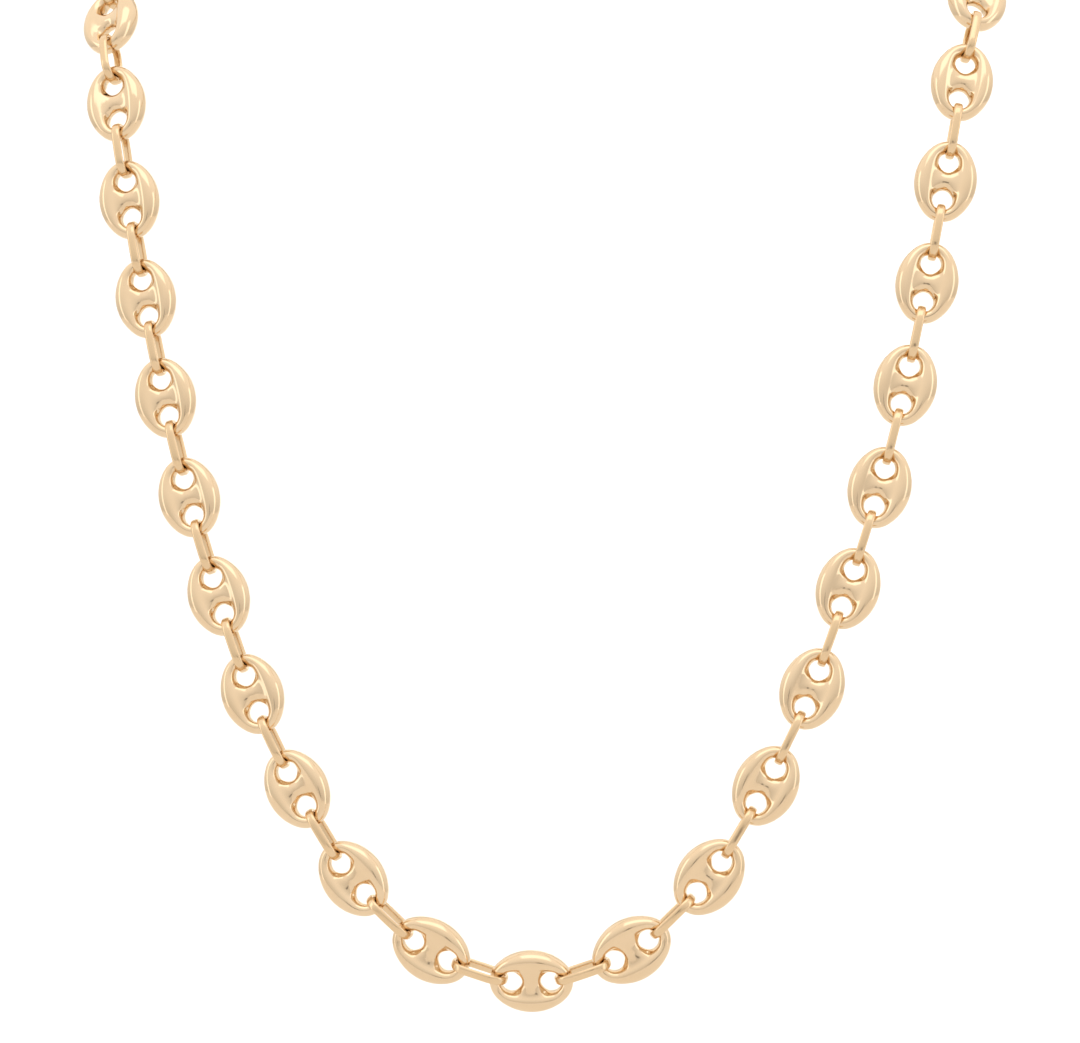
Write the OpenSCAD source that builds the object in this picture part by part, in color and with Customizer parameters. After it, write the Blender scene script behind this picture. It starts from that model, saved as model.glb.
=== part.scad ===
// Puffed mariner neck chain, in the shape it takes when it is worn.
// Millimetres. The origin is at the nape, in the middle of the clasp: +Z is up, the front faces -Y.

/* [Chain] */
// Number of puffed links, an odd number, with one of them at the bottom of the front
puff_count = 35; // [25:2:41]
// Play between an end rim and the connector that bears on it
slack = 0.25; // [0.15:0.01:0.3]

/* [Puffed link] */
// Outer length of a puffed link
link_l = 9.9; // [9.2:0.1:12]
// Outer width of a puffed link
link_w = 7.5; // [7.1:0.1:9]
// Height of the side bands where they are plumpest
link_h = 3; // [2.7:0.1:3.4]
// Height of the end rims, which a connector passes round
end_h = 1.9; // [1.7:0.05:2]
// Radius of the outline at its two ends
end_r = 2.9; // [2.7:0.1:3.3]
// Width of the side bands at mid-height
band_w = 2.55; // [2.3:0.05:2.7]
// Width of the end rims at mid-height
rim_w = 1.45; // [1.3:0.05:1.6]
// Width of the crossbar at its waist
bar_w = 2.2; // [2:0.05:2.4]
// Height of the crossbar along its middle
bar_h = 2; // [1.8:0.05:2.3]
// Radius of both rounded faces of the crossbar
bar_face_r = 2.2; // [1.9:0.1:2.6]
// Radius of the waist of the crossbar
bar_waist_r = 1.6; // [1.4:0.05:2]

/* [Connector link] */
// Outer length of a connector
joiner_l = 7; // [6.8:0.05:7.4]
// Clear width inside a connector, round the end rims
joiner_gap = 3.3; // [3.1:0.05:3.5]
// Width of the connector's flat wire
joiner_w = 1; // [0.85:0.05:1.1]
// Thickness of the connector's flat wire
joiner_t = 0.5; // [0.44:0.02:0.56]
// Radius of the crown on both faces of the wire
joiner_crown_r = 2.5; // [2:0.1:4]

/* [Clasp] */
// Length of the clasp over both its ends
clasp_l = 13.5; // [12:0.5:16]
// Thickness of the clasp along its middle
clasp_h = 1.7; // [1.4:0.1:2]
// Radius of the crown across both faces of the clasp
clasp_crown_r = 7; // [6:0.5:12]
// Outer width of the clasp's hook end
hook_w = 6.4; // [5.6:0.2:7]
// Outer width of the clasp's eye end
eye_w = 4.8; // [4.5:0.1:5.2]
// Width of the clasp's neck where it leaves the hook
neck_hook_w = 4.8; // [4:0.1:5.4]
// Width of the clasp's neck where it meets the eye
neck_eye_w = 3.2; // [2.8:0.1:4]
// Width of the metal round the hook and the eye
clasp_wire = 1.2; // [1:0.05:1.3]

/* [Hidden] */
$fn = 64;

// The right half of the worn chain, from the middle of the front round to the nape.
// Each row: across, back and up from the middle of the front, then the way that a link faces there,
// as a turn from straight ahead towards the side and a tilt upwards, in degrees.
route = [
    [0, 0, 0, 0, -15],
    [11.8, 0, 3.7, 0, -12],
    [21, 0, 12.3, 0, -8],
    [27.5, 0.5, 22.7, 1, -4],
    [33, 1.5, 34, 2, 0],
    [41, 4.5, 57.5, 3, 0],
    [46.8, 7.5, 82, 4, 0],
    [51, 11.5, 105.5, 8, 5],
    [53, 18, 117.5, 27, 22],
    [53, 26.5, 126, 51, 37],
    [51, 37.5, 131.5, 75, 38],
    [44.5, 49, 135.5, 100, 33],
    [32.5, 58, 138.5, 125, 23],
    [17, 64, 140, 155, 13],
    [0, 66, 139.5, 180, 0]
];
// Straight steps in which the curve between two rows is drawn
route_steps = 12;

gold = "#E2BC7C";
deep_gold = "#D3A863";

// How far a cutter reaches past the metal that it cuts
past = 0.5;

// The outline of a puffed link is an oval of four arcs, whose ends lap a little over the sides
end_lap = 0.05;
end_centre = link_l / 2 - end_r;
end_inset = link_w / 2 - end_r + end_lap;
side_centre = (end_centre * end_centre - end_inset * end_inset) / (2 * end_inset);
side_r = link_w / 2 + side_centre;
side_angle = atan2(end_centre, side_centre);

// All its edges are round in section. The core between them is a little lower, and is cut away later
edge_r = link_h / 2;
core_h = 0.94 * link_h;

// The opening is a slot with round ends, which the waisted crossbar parts into two nearly round holes
hole_r = link_w / 2 - band_w;
hole_centre = link_l / 2 - rim_w - hole_r;

// The middles of a puffed link's two holes lie on the route, and a connector swings about them
side_count = (puff_count - 1) / 2;
joiner_inner_l = joiner_l - 2 * joiner_t;
puff_span = 2 * hole_centre;
joiner_reach = joiner_inner_l + hole_r - 2 * slack;
pitch = puff_span + joiner_reach + hole_r;
last_hole = side_count * pitch + hole_centre;
half_chain = last_hole + joiner_reach + clasp_l / 2 - clasp_wire;
clasp_end = half_chain - clasp_l / 2;

hook_hole_r = hook_w / 2 - clasp_wire;
eye_hole_r = eye_w / 2 - clasp_wire;

// Towards the ends a link is lower, along an arc over its length
crown_run = (link_l - rim_w) / 2;
crown_drop = (link_h - end_h) / 2;
crown_r = (crown_run * crown_run + crown_drop * crown_drop) / (2 * crown_drop);

function puff_name(i) = str("puff_link_", i < 10 ? "0" : "", i);

function unit(v) = v / norm(v);

// What remains of a direction at right angles to another one
function square_to(v, other) = unit(v - (v * other) * other);

// A row of the route as the chain's other half has it, where straight ahead or straight back is `ahead`
function mirrored(row, ahead) = [-row[0], row[1], row[2], 2 * ahead - row[3], row[4]];

function place(row) = [row[0], row[1], row[2]];

// The route runs on by one row at each end, so that its curve is smooth there
last_row = len(route) - 1;
long_route = concat([mirrored(route[1], 0)], route, [mirrored(route[last_row - 1], 180)]);

// Catmull-Rom curve from row b to row c
function blend(a, b, c, d, t) =
    b + (c - a) * t / 2
    + (2 * a - 5 * b + 4 * c - d) * t * t / 2
    + (3 * b - a - 3 * c + d) * t * t * t / 2;

curve = concat(
    [for (i = [0 : last_row - 1])
        for (k = [0 : route_steps - 1])
            blend(long_route[i], long_route[i + 1], long_route[i + 2], long_route[i + 3], k / route_steps)],
    [route[last_row]]
);
last_point = len(curve) - 1;

// Length of the curve up to each of its points
run = [
    for (
        i = 0, s = 0;
        i <= last_point;
        s = s + (i < last_point ? norm(place(curve[i + 1]) - place(curve[i])) : 0), i = i + 1
    )
    s
];

// The curve is drawn at the size at which the chain just fills it
route_scale = half_chain / run[last_point];
columns = [for (c = [0 : 4]) [for (i = [0 : last_point]) [run[i] * route_scale, curve[i][c]]]];

function value_at(s, column) = lookup(abs(s), columns[column]);

// Where the chain is at a length s from the middle of the front, which is negative in its left half
function route_at(s) = route_scale * [sign(s) * value_at(s, 0), value_at(s, 1), value_at(s, 2)];

nape = [0, route_at(clasp_end)[1], route_at(clasp_end)[2]];

// Middle of the hole at length s
function hole_at(s) = route_at(s) - nape;

function facing_at(s) =
    let (turn = value_at(s, 3), tilt = value_at(s, 4))
    [sign(s) * sin(turn) * cos(tilt), -cos(turn) * cos(tilt), sin(tilt)];

function facing_over(s1, s2) = facing_at(s1) + facing_at(s2);

clasp_out = square_to(facing_over(-clasp_end, clasp_end), [1, 0, 0]);

// The way that the face of a puffed link points, by its place left or right of the bottom one
function puff_out(i) =
    let (s1 = i * pitch - hole_centre, s2 = i * pitch + hole_centre)
    square_to(facing_over(s1, s2), unit(hole_at(s2) - hole_at(s1)));

// Middle of the rim that a connector bears on as it runs from a hole of radius r towards a point.
// The rim is w wide, and its link faces along `out`
function bearing(hole, r, w, out, point) = hole + (r + w / 2) * square_to(point - hole, out);

// Hangs a link from one point to another, with its length along Y and its face towards +Z
module hang(from, to, facing) {
    along = unit(to - from);
    out = square_to(facing, along);
    across = cross(along, out);
    middle = (from + to) / 2;
    multmatrix([
        [across[0], along[0], out[0], middle[0]],
        [across[1], along[1], out[1], middle[1]],
        [across[2], along[2], out[2], middle[2]],
        [0, 0, 0, 1]
    ])
        children();
}

// Half section of a plump plate of radius r with a round edge
module plate_section(r) {
    intersection() {
        translate([0, -link_h])
            square([r + past, 2 * link_h]);
        union() {
            translate([r - edge_r, 0])
                circle(edge_r);
            translate([0, -core_h / 2])
                square([r - edge_r, core_h]);
        }
    }
}

// Plump oval plate: a sector for each side, and a round plate for each end
module plate() {
    for (side = [-1, 1]) {
        crowned()
            translate([-side * side_centre, 0, 0])
                rotate([0, 0, 90 - 90 * side - side_angle])
                    rotate_extrude(angle = 2 * side_angle)
                        plate_section(side_r);
        crowned()
            translate([0, side * end_centre, 0])
                rotate_extrude()
                    plate_section(end_r);
    }
}

// Keeps of its child what lies between the crowns of both faces
module crowned() {
    intersection() {
        children();
        crown(-1);
        crown(1);
    }
}

// Everything below the arc that one face of the link follows over its length
module crown(side) {
    translate([0, 0, side * (edge_r - crown_r)])
        rotate([0, 90, 0])
            cylinder(r = crown_r, h = link_w + 2 * past, center = true);
}

// Half section of a hole of radius r with a flared wall
module hole_section(r) {
    difference() {
        translate([0, -edge_r - past])
            square([r + edge_r, link_h + 2 * past]);
        translate([r + edge_r, 0])
            circle(edge_r);
    }
}

module opening() {
    for (side = [-1, 1])
        translate([0, side * hole_centre, 0])
            rotate([0, 0, 90 * side - 90])
                rotate_extrude(angle = 180)
                    hole_section(hole_r);
    rotate([90, 0, 0])
        linear_extrude(2 * hole_centre, center = true) {
            hole_section(hole_r);
            mirror([1, 0])
                hole_section(hole_r);
        }
}

// Bar along X with two rounded faces and a waist
module crossbar() {
    difference() {
        intersection() {
            bar_face(-1);
            bar_face(1);
        }
        for (side = [-1, 1])
            translate([0, side * (bar_w / 2 + bar_waist_r), 0])
                rotate_extrude()
                    hole_section(bar_waist_r);
    }
}

// Everything below the arc that one face of the crossbar follows over its width
module bar_face(side) {
    translate([0, 0, side * (bar_h / 2 - bar_face_r)])
        rotate([0, 90, 0])
            cylinder(r = bar_face_r, h = link_w, center = true);
}

module puff_link() {
    color(gold)
        difference() {
            plate();
            difference() {
                opening();
                crossbar();
            }
        }
}

// The puffed link numbered i, counted from the chain's left end
module hung_puff_link(i) {
    s1 = (i - 1 - side_count) * pitch - hole_centre;
    s2 = s1 + puff_span;
    hang(hole_at(s1), hole_at(s2), facing_over(s1, s2))
        puff_link();
}

// Section of the connector's flat wire, with its thickness along X and both faces crowned
module wire_section() {
    intersection() {
        square([joiner_t, joiner_w], center = true);
        translate([joiner_t / 2 - joiner_crown_r, 0])
            circle(joiner_crown_r);
        translate([joiner_crown_r - joiner_t / 2, 0])
            circle(joiner_crown_r);
    }
}

// Long oval ring that stands on edge
module connector() {
    bend_r = (joiner_gap + joiner_t) / 2;
    strand_l = joiner_inner_l - joiner_gap;
    color(deep_gold)
        rotate([0, 90, 0])
            for (side = [-1, 1]) {
                translate([0, side * strand_l / 2, 0])
                    rotate([0, 0, 90 * side - 90])
                        rotate_extrude(angle = 180)
                            translate([bend_r, 0])
                                wire_section();
                translate([side * bend_r, 0, 0])
                    rotate([90, 0, 0])
                        linear_extrude(strand_l, center = true)
                            wire_section();
            }
}

// The connectors of one side, the last of which holds the clasp
module connectors(side) {
    for (i = [1 : side_count]) {
        hole = hole_at(side * ((i - 1) * pitch + hole_centre));
        next = hole_at(side * (i * pitch - hole_centre));
        out = puff_out(side * (i - 1));
        next_out = puff_out(side * i);
        hang(
            bearing(hole, hole_r, rim_w, out, next),
            bearing(next, hole_r, rim_w, next_out, hole),
            out + next_out
        )
            connector();
    }
    hole = hole_at(side * last_hole);
    clasp_hole_r = side > 0 ? hook_hole_r : eye_hole_r;
    clasp_hole = [side * (clasp_l / 2 - clasp_wire - clasp_hole_r), 0, 0];
    out = puff_out(side * side_count);
    hang(
        bearing(hole, hole_r, rim_w, out, clasp_hole),
        bearing(clasp_hole, clasp_hole_r, clasp_wire, clasp_out, hole),
        out + clasp_out
    )
        connector();
}

// Closed clasp in one piece: a hook at one end, a waisted neck and an eye at the other end
module lobster_clasp() {
    hook_y = (clasp_l - hook_w) / 2;
    eye_y = (eye_w - clasp_l) / 2;
    color(gold)
        hang([-clasp_l / 2, 0, 0], [clasp_l / 2, 0, 0], clasp_out)
            difference() {
                intersection() {
                    linear_extrude(clasp_h, center = true) {
                        translate([0, hook_y])
                            circle(hook_w / 2);
                        translate([0, eye_y])
                            circle(eye_w / 2);
                        polygon([
                            [neck_hook_w / 2, hook_y],
                            [-neck_hook_w / 2, hook_y],
                            [-neck_eye_w / 2, eye_y],
                            [neck_eye_w / 2, eye_y]
                        ]);
                    }
                    clasp_crown(-1);
                    clasp_crown(1);
                }
                translate([0, hook_y, 0])
                    rotate_extrude()
                        hole_section(hook_hole_r);
                translate([0, eye_y, 0])
                    rotate_extrude()
                        hole_section(eye_hole_r);
            }
}

// Everything below the arc that one face of the clasp follows over its width
module clasp_crown(side) {
    translate([0, 0, side * (clasp_h / 2 - clasp_crown_r)])
        rotate([90, 0, 0])
            cylinder(r = clasp_crown_r, h = clasp_l + 2 * past, center = true);
}

for (i = [1 : puff_count])
    hung_puff_link(i);
connectors(-1);  // connectors_left
connectors(1);  // connectors_right
lobster_clasp();
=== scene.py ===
import math

import bmesh
import bpy
from mathutils import Matrix, Vector


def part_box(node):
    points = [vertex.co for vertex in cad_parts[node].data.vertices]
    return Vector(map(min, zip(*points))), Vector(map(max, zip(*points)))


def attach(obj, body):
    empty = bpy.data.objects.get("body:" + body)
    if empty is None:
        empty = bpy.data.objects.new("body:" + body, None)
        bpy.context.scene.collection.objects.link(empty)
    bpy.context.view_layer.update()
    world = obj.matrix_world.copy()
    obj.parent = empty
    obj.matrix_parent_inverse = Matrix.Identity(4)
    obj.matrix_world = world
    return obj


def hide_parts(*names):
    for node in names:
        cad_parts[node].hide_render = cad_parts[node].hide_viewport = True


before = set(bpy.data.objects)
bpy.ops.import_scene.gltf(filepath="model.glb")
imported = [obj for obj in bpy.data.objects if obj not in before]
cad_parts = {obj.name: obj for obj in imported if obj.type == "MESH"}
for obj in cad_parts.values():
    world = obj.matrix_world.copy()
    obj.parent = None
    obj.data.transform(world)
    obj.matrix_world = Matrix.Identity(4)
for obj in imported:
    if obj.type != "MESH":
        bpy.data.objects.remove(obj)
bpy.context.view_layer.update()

bl_info = {
    "name": "Puffed mariner chain",
    "version": (1, 0, 0),
    "blender": (4, 5, 0),
    "location": "3D View > Sidebar > Mariner chain",
    "description": "Dresses the packed neck chain: plump links, flat connectors, clasp and pale studio",
    "category": "Add Mesh",
}

MM = 0.001

# The right half of the worn chain, as in the part's source: across, back and up from the middle of
# the front in millimetres, then a link's turn towards the side and its tilt upwards, in degrees
ROUTE = [
    (0, 0, 0, 0, -15),
    (11.8, 0, 3.7, 0, -12),
    (21, 0, 12.3, 0, -8),
    (27.5, 0.5, 22.7, 1, -4),
    (33, 1.5, 34, 2, 0),
    (41, 4.5, 57.5, 3, 0),
    (46.8, 7.5, 82, 4, 0),
    (51, 11.5, 105.5, 8, 5),
    (53, 18, 117.5, 27, 22),
    (53, 26.5, 126, 51, 37),
    (51, 37.5, 131.5, 75, 38),
    (44.5, 49, 135.5, 100, 33),
    (32.5, 58, 138.5, 125, 23),
    (17, 64, 140, 155, 13),
    (0, 66, 139.5, 180, 0),
]
ROUTE_STEPS = 12

PUFF_COUNT = 35
SIDE_COUNT = (PUFF_COUNT - 1) // 2


def linear(hex_colour):
    """sRGB hex to the linear colour that a shader takes."""
    values = [int(hex_colour[i:i + 2], 16) / 255 for i in (1, 3, 5)]
    return tuple(v / 12.92 if v <= 0.04045 else ((v + 0.055) / 1.055) ** 2.4 for v in values)


def length(name, description, default):
    return bpy.props.FloatProperty(
        name=name, description=description, default=default * MM, min=0, precision=5, unit="LENGTH")


def colour(name, description, hex_colour):
    return bpy.props.FloatVectorProperty(
        name=name, description=description, default=linear(hex_colour), subtype="COLOR", min=0, max=1)


class ChainSizes(bpy.types.PropertyGroup):
    link_length: length("Link length", "Outer length of a puffed link", 9.9)
    link_width: length("Link width", "Outer width of a puffed link", 7.5)
    link_height: length("Link height", "Height of the side bands where they are plumpest", 3)
    end_height: length("End height", "Height of the rims at a link's ends", 1.9)
    end_radius: length("End radius", "Radius of a link's outline at its ends", 2.9)
    band_width: length("Band width", "Width of a side band at mid-height", 2.55)
    rim_width: length("Rim width", "Width of an end rim at mid-height", 1.45)
    bar_width: length("Bar width", "Width of the crossbar at its waist", 2.2)
    bar_height: length("Bar height", "Height of the crossbar along its middle", 2)
    slack: length("Slack", "Play between a rim and the connector on it", 0.25)
    joiner_length: length("Connector length", "Outer length of a connector", 7)
    joiner_gap: length("Connector gap", "Clear width inside a connector", 3.3)
    joiner_width: length("Connector wire width", "Width of the connector's flat wire", 1)
    joiner_thickness: length("Connector wire thickness", "Thickness of the connector's flat wire", 0.5)
    clasp_length: length("Clasp length", "Length of the clasp over both its ends", 13.5)
    hook_width: length("Hook width", "Outer width of the clasp's hook end", 6.4)
    eye_width: length("Eye width", "Outer width of the clasp's eye end", 4.8)
    clasp_wire: length("Clasp wire", "Width of the metal round the clasp's hook and eye", 1.2)


class ChainColours(bpy.types.PropertyGroup):
    puffed: colour("Puffed links", "Colour of the polished gold of puffed links and clasp", "#EDD6B6")
    drawn: colour("Connectors", "Colour of the drawn gold wire of the connectors", "#EAD0AC")
    floor: colour("Floor", "Colour of the pale studio floor", "#EBE9E6")


def settings():
    return bpy.context.scene.mariner_sizes


def colours():
    return bpy.context.scene.mariner_colours


# The chain's course, in millimetres, by the same rules as the part's source

def mirrored(row, ahead):
    """A row of the route on the other side of the middle, where the links face the given way."""
    across, back, up, turn, tilt = row
    return -across, back, up, 2 * ahead - turn, tilt


def blend(a, b, c, d, t):
    """Row on the smooth course from b to c, which passes a before and d after."""
    return [
        q + (r - p) * t / 2 + (2 * p - 5 * q + 4 * r - s) * t * t / 2 + (3 * q - p - 3 * r + s) * t ** 3 / 2
        for p, q, r, s in zip(a, b, c, d)]


class Course:
    """Where the chain runs and how its links face, by length from the middle of the front."""

    def __init__(self, sizes):
        self.rim, self.wire = sizes.rim_width / MM, sizes.clasp_wire / MM
        self.hole_r = (sizes.link_width / 2 - sizes.band_width) / MM
        self.hook_r = sizes.hook_width / MM / 2 - self.wire
        self.eye_r = sizes.eye_width / MM / 2 - self.wire
        self.clasp_half = sizes.clasp_length / MM / 2
        self.hole_centre = sizes.link_length / MM / 2 - self.rim - self.hole_r
        inner = (sizes.joiner_length - 2 * sizes.joiner_thickness) / MM
        reach = inner + self.hole_r - 2 * sizes.slack / MM
        self.pitch = 2 * self.hole_centre + reach + self.hole_r
        last_hole = SIDE_COUNT * self.pitch + self.hole_centre
        half_chain = last_hole + reach + self.clasp_half - self.wire
        rows = [mirrored(ROUTE[1], 0)] + ROUTE + [mirrored(ROUTE[-2], 180)]
        self.points = [
            blend(*rows[i:i + 4], k / ROUTE_STEPS)
            for i in range(len(ROUTE) - 1) for k in range(ROUTE_STEPS)]
        self.points.append(list(ROUTE[-1]))
        run = [0]
        for a, b in zip(self.points, self.points[1:]):
            run.append(run[-1] + math.dist(a[:3], b[:3]))
        self.scale = half_chain / run[-1]
        self.run = [r * self.scale for r in run]
        self.clasp_end = half_chain - self.clasp_half
        self.nape = Vector((0, 0, 0))
        self.nape = self.hole_at(self.clasp_end)
        self.nape.x = 0

    def row(self, s):
        s = min(abs(s), self.run[-1])
        i = max(k for k in range(len(self.run) - 1) if self.run[k] <= s)
        t = (s - self.run[i]) / (self.run[i + 1] - self.run[i])
        return [p + (q - p) * t for p, q in zip(self.points[i], self.points[i + 1])]

    def hole_at(self, s):
        across, back, up = self.row(s)[:3]
        return self.scale * Vector((math.copysign(across, s), back, up)) - self.nape

    def facing(self, s):
        turn, tilt = (math.radians(v) for v in self.row(s)[3:])
        sideways = math.copysign(1, s) * math.sin(turn) * math.cos(tilt)
        return Vector((sideways, -math.cos(turn) * math.cos(tilt), math.sin(tilt)))

    def puff_place(self, i):
        """Placing matrix of a puffed link, by its place left or right of the bottom one."""
        s1, s2 = i * self.pitch - self.hole_centre, i * self.pitch + self.hole_centre
        return hang(self.hole_at(s1), self.hole_at(s2), self.facing(s1) + self.facing(s2))

    def clasp_place(self):
        end = Vector((self.clasp_half, 0, 0))
        return hang(-end, end, self.facing(-self.clasp_end) + self.facing(self.clasp_end))

    def puff_places(self):
        return [self.puff_place(i) for i in range(-SIDE_COUNT, SIDE_COUNT + 1)]

    def hole_after(self, side, i):
        """The hole that a connector ends in: its middle, radius, rim width and the way it faces."""
        if i < SIDE_COUNT:
            middle = self.hole_at(side * ((i + 1) * self.pitch - self.hole_centre))
            return middle, self.hole_r, self.rim, face_of(self.puff_place(side * (i + 1)))
        radius = self.hook_r if side > 0 else self.eye_r
        middle = Vector((side * (self.clasp_half - self.wire - radius), 0, 0))
        return middle, radius, self.wire, face_of(self.clasp_place())

    def joiner_places(self, side):
        """Each connector runs between the rims of two holes, and swings about the middles of the holes."""
        for i in range(SIDE_COUNT + 1):
            hole = self.hole_at(side * (i * self.pitch + self.hole_centre))
            out = face_of(self.puff_place(side * i))
            next_hole, next_r, next_rim, next_out = self.hole_after(side, i)
            start = bearing(hole, self.hole_r, self.rim, out, next_hole)
            end = bearing(next_hole, next_r, next_rim, next_out, hole)
            yield hang(start, end, out + next_out)


def square_to(direction, other):
    """What remains of a direction at right angles to another one."""
    return (direction - direction.dot(other) * other).normalized()


def bearing(hole, r, rim, out, point):
    """Middle of the rim that a connector bears on as it runs from a hole towards a point."""
    return hole + (r + rim / 2) * square_to(point - hole, out)


def hang(start, end, facing):
    """Placing matrix of a link between two points: its length along Y, its face towards Z, in metres."""
    along = (end - start).normalized()
    out = square_to(facing, along)
    matrix = Matrix((along.cross(out), along, out)).transposed().to_4x4()
    matrix.translation = (start + end) / 2 * MM
    return matrix


def face_of(matrix):
    return matrix.to_3x3() @ Vector((0, 0, 1))


# Modelling by hand, in code

# Points closer than this are one point, in millimetres
SAME_POINT = 0.001
# Levels of subdivision that round off a piece
ROUNDING_LEVELS = 2
# Attribute with each point's place on its own link, in millimetres, for the material's patterns
PLACE_ON_LINK = "on_link"


def deselect():
    for thing in bpy.context.selected_objects:
        thing.select_set(False)


def start_piece(name):
    """An empty mesh object, open in edit mode. It is modelled in millimetres."""
    deselect()
    bpy.ops.object.add(type="MESH", location=(0, 0, 0))
    piece = bpy.context.object
    piece.name = piece.data.name = name
    bpy.ops.object.mode_set(mode="EDIT")
    return piece


def pick(kind, test):
    """In edit mode, selects the vertices or faces whose place passes the test, and no others."""
    bpy.ops.mesh.select_mode(type=kind)
    bpy.ops.mesh.select_all(action="DESELECT")
    mesh = bmesh.from_edit_mesh(bpy.context.object.data)
    if kind == "VERT":
        for vertex in mesh.verts:
            vertex.select = test(vertex.co)
    else:
        for face in mesh.faces:
            face.select = test(face.calc_center_median())
    mesh.select_flush(True)
    bmesh.update_edit_mesh(bpy.context.object.data)


def stretch(value, centre=(0, 0, 0)):
    bpy.ops.transform.resize(value=value, center_override=centre)


def shift(value):
    bpy.ops.transform.translate(value=value)


def turn_about_z(angle):
    """Turns the selection anticlockwise, seen from above. With no window the operator is reversed."""
    bpy.ops.transform.rotate(value=-angle, orient_axis="Z", center_override=(0, 0, 0))


def finish_piece(piece):
    """Merges doubles, turns the faces outwards, rounds the piece off and keeps each point's place on it."""
    bpy.ops.mesh.select_all(action="SELECT")
    bpy.ops.mesh.remove_doubles(threshold=SAME_POINT)
    bpy.ops.mesh.normals_make_consistent(inside=False)
    bpy.ops.object.mode_set(mode="OBJECT")
    modifier = piece.modifiers.new("Rounding", "SUBSURF")
    modifier.levels = modifier.render_levels = ROUNDING_LEVELS
    bpy.ops.object.modifier_apply(modifier=modifier.name)
    bpy.ops.object.shade_smooth()
    attribute = piece.data.attributes.new(PLACE_ON_LINK, "FLOAT_VECTOR", "POINT")
    for item, vertex in zip(attribute.data, piece.data.vertices):
        item.vector = vertex.co


def placed_copy(pattern, name, matrix):
    """A copy of a piece with its own mesh, in its place, in metres."""
    copy = pattern.copy()
    copy.data = pattern.data.copy()
    copy.name = copy.data.name = name
    bpy.context.scene.collection.objects.link(copy)
    copy.data.transform(matrix @ Matrix.Scale(MM, 4))
    return copy


def joined(pieces, name):
    deselect()
    for piece in pieces:
        piece.select_set(True)
    bpy.context.view_layer.objects.active = pieces[0]
    bpy.ops.object.join()
    piece = bpy.context.object
    piece.name = piece.data.name = name
    return piece


def discard(piece):
    mesh = piece.data
    bpy.data.objects.remove(piece)
    bpy.data.meshes.remove(mesh)


def dress(piece, material, slot, *nodes):
    piece.data.materials.clear()
    piece.data.materials.append(material)
    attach(piece, "root")
    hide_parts(*nodes)


# Materials

# The hairlines are drawn out, so they change this share as often along a link as across it
HAIRLINE_SHARE_ALONG = 0.12
# Depth of the hairlines in metres, of which the bump takes a quarter, so they only soften a highlight
HAIRLINE_DEPTH = 0.000004
HAIRLINE_STRENGTH = 0.25
# Drifts in tone over 4 mm, and haze over 1.5 mm, by the metre
DRIFTS_PER_METRE = 250.0
HAZES_PER_METRE = 650.0
# The deeper end of a drift in tone as a share of the colour, and the least and most haze as shares of
# the roughness, between the levels where most of the noise lies
DEEPER_TONE = (0.93, 0.89, 0.83)
CLEAREST, HAZIEST = 0.8, 1.25
NOISE_LOW, NOISE_HIGH = 0.3, 0.7
# Fibres of the paper over 1.1 mm, by the metre, and their depth in metres
FIBRES_PER_METRE = 900.0
FIBRE_DEPTH = 0.0002


def add(tree, kind, inputs=(), **values):
    """Adds a node with its settings, input values and links."""
    node = tree.nodes.new(kind)
    for name, value in values.items():
        setattr(node, name, value)
    for name, value in dict(inputs).items():
        if isinstance(value, bpy.types.NodeSocket):
            tree.links.new(value, node.inputs[name])
        else:
            node.inputs[name].default_value = value
    return node


def new_material(name):
    material = bpy.data.materials.new(name)
    material.use_nodes = True
    material.node_tree.nodes.clear()
    return material, material.node_tree


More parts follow.
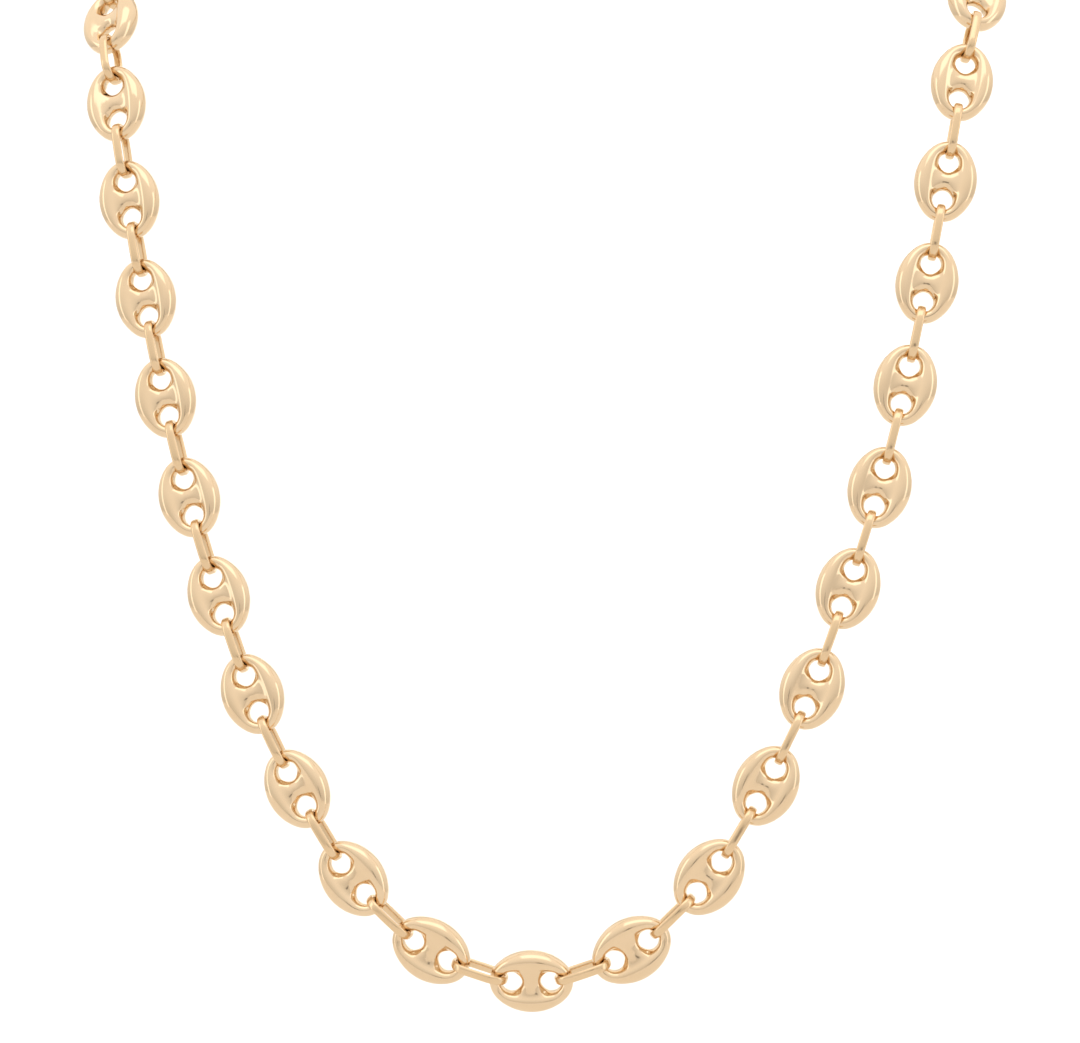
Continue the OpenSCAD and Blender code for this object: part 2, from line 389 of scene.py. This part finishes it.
def polished_gold(name, tone, roughness, hairline_mm, on_link=True):
    """14 karat yellow gold, die-struck, drawn or cast, then buffed on a wheel with fine rouge.

    To the eye: a pale warm mirror, a little hazy, with faint hairlines from the buff along each band
    and slow drifts in tone where the alloy and the polish vary.
    """
    material, tree = new_material(name)
    place = add(tree, "ShaderNodeTexCoord").outputs["Object"]
    # The hairlines run along a link, or along the clasp, whose length is along X. Real ones are finer,
    # and are drawn as coarse as hairline_mm so that they show from close by.
    if on_link:
        hairs_from = add(tree, "ShaderNodeAttribute", attribute_name=PLACE_ON_LINK).outputs["Vector"]
        density, shares = 1 / hairline_mm, (1, HAIRLINE_SHARE_ALONG, 1)
    else:
        hairs_from = place
        density, shares = 1 / (hairline_mm * MM), (HAIRLINE_SHARE_ALONG, 1, 1)
    hairs_place = add(tree, "ShaderNodeMapping", {
        "Vector": hairs_from, "Scale": tuple(density * share for share in shares)})
    hairs = add(tree, "ShaderNodeTexNoise", {
        "Vector": hairs_place.outputs["Vector"], "Scale": 1.0, "Detail": 3.0, "Roughness": 0.6})
    drift = add(tree, "ShaderNodeTexNoise", {"Vector": place, "Scale": DRIFTS_PER_METRE, "Detail": 2.0})
    haze = add(tree, "ShaderNodeTexNoise", {"Vector": place, "Scale": HAZES_PER_METRE, "Detail": 4.0})
    deeper = tuple(c * k for c, k in zip(tone, DEEPER_TONE))
    # Inputs 0, 6 and 7 of a colour mix are its factor and its two colours, and output 2 is the result
    mixed = add(tree, "ShaderNodeMix", {
        0: drift.outputs["Fac"], 6: (*tone, 1), 7: (*deeper, 1)}, data_type="RGBA")
    dullness = add(tree, "ShaderNodeMapRange", {
        "Value": haze.outputs["Fac"], "From Min": NOISE_LOW, "From Max": NOISE_HIGH,
        "To Min": roughness * CLEAREST, "To Max": roughness * HAZIEST})
    relief = add(tree, "ShaderNodeBump", {
        "Height": hairs.outputs["Fac"], "Strength": HAIRLINE_STRENGTH, "Distance": HAIRLINE_DEPTH})
    metal = add(tree, "ShaderNodeBsdfPrincipled", {
        "Base Color": mixed.outputs[2], "Metallic": 1.0, "Roughness": dullness.outputs["Result"],
        "Normal": relief.outputs["Normal"]})
    add(tree, "ShaderNodeOutputMaterial", {"Surface": metal.outputs["BSDF"]})
    return material


def seamless_paper(name, tone):
    """Seamless background paper, matt and slightly fibrous."""
    material, tree = new_material(name)
    place = add(tree, "ShaderNodeTexCoord")
    fibres = add(tree, "ShaderNodeTexNoise", {
        "Vector": place.outputs["Object"], "Scale": FIBRES_PER_METRE, "Detail": 3.0})
    relief = add(tree, "ShaderNodeBump", {
        "Height": fibres.outputs["Fac"], "Strength": 0.05, "Distance": FIBRE_DEPTH})
    paper = add(tree, "ShaderNodeBsdfPrincipled", {
        "Base Color": (*tone, 1), "Roughness": 0.95, "Specular IOR Level": 0.1,
        "Normal": relief.outputs["Normal"]})
    add(tree, "ShaderNodeOutputMaterial", {"Surface": paper.outputs["BSDF"]})
    return material


# Puffed links, in millimetres

# Sections round the band, and points round a section and round the crossbar, which has as many as the
# edge of the patch that it grows out of
RINGS = 32
SECTION_POINTS = 16
BAR_POINTS = 20
# Loops of the crossbar: how far each is from its middle, and its width and height beside the waist's
BAR_LOOPS = ((-0.85, 1.4, 1.02), (-0.42, 1.08, 0.97), (0, 1, 1), (0.42, 1.08, 0.97), (0.85, 1.4, 1.02))
# The patch is six faces wide and four high, without its corners: how far it reaches outwards from the
# slot's side, its half height and half width, and those of the two lower tabs at its sides
PATCH_DEPTH = 0.35
PATCH_HALF_H, PATCH_HALF_W = 1.05, 1.35
TAB_HALF_H, TAB_HALF_W = 0.5, 2
# How often the search for an outline halves its reach
HALVINGS = 30
# A puffed link that lies further than this from its solid is in the wrong place
PLACE_TOLERANCE = 0.3


def swell(points):
    """Subdivision draws a ring of points in towards its middle, and this undoes it."""
    return 1 / (2 / 3 + math.cos(math.tau / points) / 3)


class LinkPlan:
    """The outer oval and the slot of a puffed link, seen from its face."""

    def __init__(self, sizes):
        self.half_l = sizes.link_length / MM / 2
        self.half_w = sizes.link_width / MM / 2
        self.end_r = sizes.end_radius / MM
        self.rim = sizes.rim_width / MM
        self.end_centre = self.half_l - self.end_r
        inset = self.half_w - self.end_r
        self.side_centre = (self.end_centre ** 2 - inset ** 2) / (2 * inset)
        self.slot_r = self.half_w - sizes.band_width / MM
        self.slot_centre = self.half_l - self.rim - self.slot_r
        self.half_h = sizes.link_height / MM / 2
        self.end_half_h = sizes.end_height / MM / 2

    def outside(self, x, y):
        x, y = abs(x), abs(y)
        if y * self.side_centre > (x + self.side_centre) * self.end_centre:
            return math.hypot(x, y - self.end_centre) > self.end_r
        return math.hypot(x + self.side_centre, y) > self.half_w + self.side_centre

    def in_slot(self, x, y):
        return math.hypot(x, max(abs(y) - self.slot_centre, 0)) < self.slot_r

    def reach(self, x, y, dx, dy, stop):
        """How far it is from a point, along a direction, to where the test becomes true."""
        near, far = 0, self.half_l
        for _ in range(HALVINGS):
            middle = (near + far) / 2
            if stop(x + dx * middle, y + dy * middle):
                far = middle
            else:
                near = middle
        return near

    def section(self, turn):
        """Middle, direction, half width and half height of the band's section at a turn round the link."""
        a = self.half_w - (self.half_w - self.slot_r) / 2
        b = self.half_l - self.rim / 2
        x, y = a * math.cos(turn), b * math.sin(turn)
        direction = Vector((b * math.cos(turn), a * math.sin(turn))).normalized()
        out = self.reach(x, y, direction.x, direction.y, self.outside)
        into = self.reach(x, y, -direction.x, -direction.y, self.in_slot)
        middle = Vector((x, y)) + direction * (out - into) / 2
        half_h = self.half_h + (self.end_half_h - self.half_h) * (middle.y / b) ** 2
        return middle, math.atan2(direction.y, direction.x), (out + into) / 2, half_h


def model_puffed_link(sizes):
    """One puffed link: a ring of sections bridged to a band, and a waisted bar bridged across it."""
    plan = LinkPlan(sizes)
    piece = start_piece("puffed_link_pattern")
    for k in range(RINGS):
        middle, angle, half_w, half_h = plan.section(math.tau * k / RINGS)
        bpy.ops.mesh.select_all(action="DESELECT")
        bpy.ops.mesh.primitive_circle_add(
            vertices=SECTION_POINTS, radius=swell(SECTION_POINTS), rotation=(math.pi / 2, 0, 0))
        stretch((half_w, 1, half_h))
        turn_about_z(angle)
        shift((middle.x, middle.y, 0))
    bpy.ops.mesh.select_mode(type="EDGE")
    bpy.ops.mesh.select_all(action="SELECT")
    bpy.ops.mesh.bridge_edge_loops(type="CLOSED")
    inner_side = plan.slot_r + PATCH_DEPTH
    pick("FACE", lambda c: abs(c.x) < inner_side and abs(c.z) < PATCH_HALF_H
         and (abs(c.y) < PATCH_HALF_W or abs(c.y) < TAB_HALF_W and abs(c.z) < TAB_HALF_H))
    bpy.ops.mesh.delete(type="FACE")
    half_w, half_h = sizes.bar_width / MM / 2, sizes.bar_height / MM / 2
    for x, wide, high in BAR_LOOPS:
        bpy.ops.mesh.select_all(action="DESELECT")
        bpy.ops.mesh.primitive_circle_add(
            vertices=BAR_POINTS, radius=swell(BAR_POINTS), rotation=(0, math.pi / 2, 0))
        stretch((1, half_w * wide, half_h * high))
        shift((x, 0, 0))
    bpy.ops.mesh.select_mode(type="EDGE")
    bpy.ops.mesh.select_all(action="DESELECT")
    bpy.ops.mesh.select_non_manifold()
    bpy.ops.mesh.bridge_edge_loops(type="SINGLE")
    finish_piece(piece)
    return piece


class MARINER_OT_puffed_links(bpy.types.Operator):
    """Models one puffed link and hangs a copy of it at each of its places"""
    bl_idname = "mariner.puffed_links"
    bl_label = "Puffed links"
    bl_options = {"REGISTER", "UNDO"}

    def execute(self, context):
        gold = polished_gold(
            "Gold, 14 karat, die-struck and buffed", tuple(colours().puffed),
            roughness=0.12, hairline_mm=0.05)
        pattern = model_puffed_link(settings())
        for i, matrix in enumerate(Course(settings()).puff_places(), 1):
            node = "puff_link_%02d" % i
            low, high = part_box(node)
            if ((low + high) / 2 - matrix.translation).length > PLACE_TOLERANCE * MM:
                raise RuntimeError("%s isn't where the course says" % node)
            piece = placed_copy(pattern, "plump_link_%02d" % i, matrix)
            dress(piece, gold, "puffed_gold", node)
        discard(pattern)
        return {"FINISHED"}


# Connectors

# Points round the wire, and steps round each bend
WIRE_POINTS = 12
BEND_STEPS = 8
# The wire's flanks are fuller than an ellipse: where they begin and end, by the distance from the
# wire's middle as a share of its width, and how much they are stretched
FLANK_START, FLANK_END = 0.2, 0.49
FLANK_STRETCH = (1.05, 1, 1.18)


def model_connector(sizes):
    """One connector: a flat wire section, spun round both ends and drawn straight between them."""
    piece = start_piece("connector_pattern")
    wire_t, wire_w = sizes.joiner_thickness / MM, sizes.joiner_width / MM
    bend_r = sizes.joiner_gap / MM / 2 + wire_t / 2
    strand = sizes.joiner_length / MM - 2 * wire_t - sizes.joiner_gap / MM
    bpy.ops.mesh.primitive_circle_add(
        vertices=WIRE_POINTS, radius=swell(WIRE_POINTS), rotation=(math.pi / 2, 0, 0))
    stretch((wire_w / 2, 1, wire_t / 2))
    shift((0, strand / 2, bend_r))
    pick("VERT", lambda c: FLANK_START * wire_w < abs(c.x) < FLANK_END * wire_w)
    stretch(FLANK_STRETCH, (0, strand / 2, bend_r))
    bpy.ops.mesh.select_mode(type="EDGE")
    bpy.ops.mesh.select_all(action="SELECT")
    bpy.ops.mesh.spin(steps=BEND_STEPS, angle=math.pi, center=(0, strand / 2, 0), axis=(1, 0, 0))
    farthest = max(vertex.co.y for vertex in bmesh.from_edit_mesh(piece.data).verts)
    if farthest < (strand + bend_r) / 2:
        raise RuntimeError("the connector's first bend turned the wrong way")
    bpy.ops.mesh.extrude_region_move(TRANSFORM_OT_translate={"value": (0, -strand, 0)})
    bpy.ops.mesh.spin(steps=BEND_STEPS, angle=math.pi, center=(0, -strand / 2, 0), axis=(1, 0, 0))
    bpy.ops.mesh.extrude_region_move(TRANSFORM_OT_translate={"value": (0, strand, 0)})
    finish_piece(piece)
    return piece


class MARINER_OT_connectors(bpy.types.Operator):
    """Models one connector and hangs a copy of it between each two puffed links"""
    bl_idname = "mariner.connectors"
    bl_label = "Connectors"
    bl_options = {"REGISTER", "UNDO"}

    def execute(self, context):
        gold = polished_gold(
            "Gold, 14 karat, drawn wire", tuple(colours().drawn),
            roughness=0.15, hairline_mm=0.04)
        pattern = model_connector(settings())
        course = Course(settings())
        for side, name in ((-1, "left"), (1, "right")):
            copies = [
                placed_copy(pattern, "joiner_%s_%02d" % (name, i), matrix)
                for i, matrix in enumerate(course.joiner_places(side), 1)]
            piece = joined(copies, "flat_wire_connectors_" + name)
            dress(piece, gold, "connector_gold", "connectors_" + name)
        discard(pattern)
        return {"FINISHED"}


class MARINER_OT_clasp(bpy.types.Operator):
    """Gives the clasp at the nape its finish"""
    bl_idname = "mariner.clasp"
    bl_label = "Clasp"
    bl_options = {"REGISTER", "UNDO"}

    def execute(self, context):
        gold = polished_gold(
            "Gold, 14 karat, cast and buffed", tuple(colours().puffed),
            roughness=0.14, hairline_mm=0.06, on_link=False)
        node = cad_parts["lobster_clasp"]
        node.data.materials.clear()
        node.data.materials.append(gold)
        return {"FINISHED"}


# Studio, in metres

FLOOR_HEIGHT = -0.3
FLOOR_SIZE = 2
# How much further back the floor reaches, how high the paper rises there and how wide its bend is
FLOOR_EXTRA_DEPTH = 0.5
PAPER_RISE = 1.8
PAPER_BEND, PAPER_BEND_STEPS = 0.6, 24

# Light of the room from the front to the back and from below to above, as directions and strengths
FRONT_TO_BACK = {"From Min": -1.0, "From Max": 0.2, "To Min": 0.84, "To Max": 0.9}
BELOW_TO_ABOVE = {"From Min": -0.7, "From Max": 0.8, "To Min": 0.7, "To Max": 1.3}
# The dark of the camera in front of the chain: the shift and stretch that bring directions towards it
# near zero, and how it fades outwards from there
DARK_SHIFT, DARK_STRETCH = (-1.3, 2.0, 0.49), (12.0, 2.0, 7.0)
DARK_FADE = {"From Min": 0.6, "From Max": 1.1, "To Min": 0.3, "To Max": 1.0}
ROOM_TINT = (1, 0.955, 0.9, 1)
WALL_TINT = (1, 0.985, 0.965, 1)
WALL_STRENGTH = 0.95

CHAIN_MIDDLE = (0, -0.06, -0.07)
# Name, place, target, size, watts, and whether the metal mirrors it
SOFTBOXES = (
    ("Overhead softbox", (0.05, -0.35, 0.55), CHAIN_MIDDLE, (0.7, 0.45), 0.5, True),
    ("Left softbox", (-0.75, -0.35, 0.05), CHAIN_MIDDLE, (0.25, 0.8), 0.4, True),
    ("Right softbox", (0.8, -0.25, 0.0), CHAIN_MIDDLE, (0.25, 0.8), 0.4, True),
    ("Backdrop light", (0, 0.9, 0.75), (0, 1.5, 0.05), (0.6, 0.3), 6, False),
)

# The camera, from the links' places in the picture: its place in millimetres, the way it looks, what is
# up for it, and its focal length in pixels of a frame of this width
CAMERA_PLACE = (56.9, -558.1, -106.5)
CAMERA_AHEAD = (-0.11176, 0.99291, 0.04053)
CAMERA_UP = (0.01362, -0.03925, 0.99914)
FOCAL_PIXELS = 4237.1
FRAME_WIDTH = 1080
SENSOR_MM = 36


def lay_paper():
    """A floor of paper that rises behind the chain."""
    deselect()
    bpy.ops.mesh.primitive_plane_add(size=FLOOR_SIZE, location=(0, 0, FLOOR_HEIGHT))
    floor = bpy.context.object
    floor.name = floor.data.name = "paper_sweep"
    bpy.ops.object.mode_set(mode="EDIT")
    pick("VERT", lambda c: c.y > 0)
    shift((0, FLOOR_EXTRA_DEPTH, 0))
    pick("VERT", lambda c: c.y > 0)
    bpy.ops.mesh.select_mode(type="EDGE")
    bpy.ops.mesh.extrude_region_move(TRANSFORM_OT_translate={"value": (0, 0, PAPER_RISE)})
    bpy.ops.object.mode_set(mode="OBJECT")
    bend = floor.modifiers.new("Sweep", "BEVEL")
    bend.width, bend.segments, bend.limit_method = PAPER_BEND, PAPER_BEND_STEPS, "ANGLE"
    bpy.ops.object.modifier_apply(modifier=bend.name)
    bpy.ops.object.transform_apply()
    bpy.ops.object.shade_smooth()
    floor.data.materials.append(seamless_paper("Seamless paper, matt", tuple(colours().floor)))


def light_room(scene):
    """A soft room, pale all round and brighter overhead, with the dark of the camera in front."""
    world = bpy.data.worlds.new("Soft room")
    scene.world = world
    world.use_nodes = True
    tree = world.node_tree
    tree.nodes.clear()
    direction = add(tree, "ShaderNodeTexCoord").outputs["Generated"]
    parts = add(tree, "ShaderNodeSeparateXYZ", {"Vector": direction})
    front = add(tree, "ShaderNodeMapRange", {
        "Value": parts.outputs["Y"], **FRONT_TO_BACK}, interpolation_type="SMOOTHSTEP")
    upward = add(tree, "ShaderNodeMapRange", {
        "Value": parts.outputs["Z"], **BELOW_TO_ABOVE}, interpolation_type="SMOOTHSTEP")
    from_dark = add(tree, "ShaderNodeMapping", {
        "Vector": direction, "Location": DARK_SHIFT, "Scale": DARK_STRETCH})
    distance = add(tree, "ShaderNodeVectorMath", {
        "Vector": from_dark.outputs["Vector"]}, operation="LENGTH")
    dark = add(tree, "ShaderNodeMapRange", {
        "Value": distance.outputs["Value"], **DARK_FADE}, interpolation_type="SMOOTHSTEP")
    room = add(tree, "ShaderNodeMath", {
        0: front.outputs["Result"], 1: upward.outputs["Result"]}, operation="MULTIPLY")
    strength = add(tree, "ShaderNodeMath", {
        0: room.outputs["Value"], 1: dark.outputs["Result"]}, operation="MULTIPLY")
    glow = add(tree, "ShaderNodeBackground", {"Color": ROOM_TINT, "Strength": strength.outputs["Value"]})
    # Beyond the paper the eye sees an even pale wall, and only the metal mirrors the rest
    wall = add(tree, "ShaderNodeBackground", {"Color": WALL_TINT, "Strength": WALL_STRENGTH})
    seen = add(tree, "ShaderNodeLightPath")
    view = add(tree, "ShaderNodeMixShader", {
        "Fac": seen.outputs["Is Camera Ray"], 1: glow.outputs["Background"], 2: wall.outputs["Background"]})
    add(tree, "ShaderNodeOutputWorld", {"Surface": view.outputs["Shader"]})


def add_softbox(name, place, target, size, power, is_mirrored):
    light = bpy.data.lights.new(name, "AREA")
    light.shape = "RECTANGLE"
    light.size, light.size_y = size
    light.energy = power
    holder = bpy.data.objects.new(name, light)
    bpy.context.scene.collection.objects.link(holder)
    holder.location = place
    holder.rotation_euler = (Vector(target) - Vector(place)).to_track_quat("-Z", "Y").to_euler()
    holder.visible_camera = False
    holder.visible_glossy = is_mirrored


def set_camera(scene):
    lens = bpy.data.cameras.new("Camera")
    lens.sensor_fit = "HORIZONTAL"
    lens.sensor_width = SENSOR_MM
    lens.lens = SENSOR_MM * FOCAL_PIXELS / FRAME_WIDTH
    lens.clip_start, lens.clip_end = 0.01, 20
    camera = bpy.data.objects.new("Camera", lens)
    scene.collection.objects.link(camera)
    ahead, up = Vector(CAMERA_AHEAD), Vector(CAMERA_UP)
    aim = Matrix((ahead.cross(up), up, -ahead)).transposed()
    camera.matrix_world = Matrix.Translation(Vector(CAMERA_PLACE) * MM) @ aim.to_4x4()
    scene.camera = camera


class MARINER_OT_studio(bpy.types.Operator):
    """Sets a pale sweep of paper, soft lights and the camera"""
    bl_idname = "mariner.studio"
    bl_label = "Studio"
    bl_options = {"REGISTER", "UNDO"}

    def execute(self, context):
        context.scene.view_settings.view_transform = "Standard"
        lay_paper()
        light_room(context.scene)
        for softbox in SOFTBOXES:
            add_softbox(*softbox)
        set_camera(context.scene)
        return {"FINISHED"}


class MARINER_PT_panel(bpy.types.Panel):
    """Lists the chain's pieces, sizes and colours"""
    bl_idname = "MARINER_PT_panel"
    bl_label = "Mariner chain"
    bl_space_type = "VIEW_3D"
    bl_region_type = "UI"
    bl_category = "Mariner chain"

    def draw(self, context):
        layout = self.layout
        for operator in PIECES:
            layout.operator(operator.bl_idname)
        for group in (settings(), colours()):
            for name in group.__annotations__:
                layout.prop(group, name)


PIECES = (MARINER_OT_puffed_links, MARINER_OT_connectors, MARINER_OT_clasp, MARINER_OT_studio)
CLASSES = (ChainSizes, ChainColours, *PIECES, MARINER_PT_panel)


def register():
    for cls in CLASSES:
        bpy.utils.register_class(cls)
    bpy.types.Scene.mariner_sizes = bpy.props.PointerProperty(type=ChainSizes)
    bpy.types.Scene.mariner_colours = bpy.props.PointerProperty(type=ChainColours)


def unregister():
    del bpy.types.Scene.mariner_colours
    del bpy.types.Scene.mariner_sizes
    for cls in reversed(CLASSES):
        bpy.utils.unregister_class(cls)


def main():
    register()
    bpy.ops.mariner.puffed_links()
    bpy.ops.mariner.connectors()
    bpy.ops.mariner.clasp()
    bpy.ops.mariner.studio()


if __name__ == "__main__":
    main()
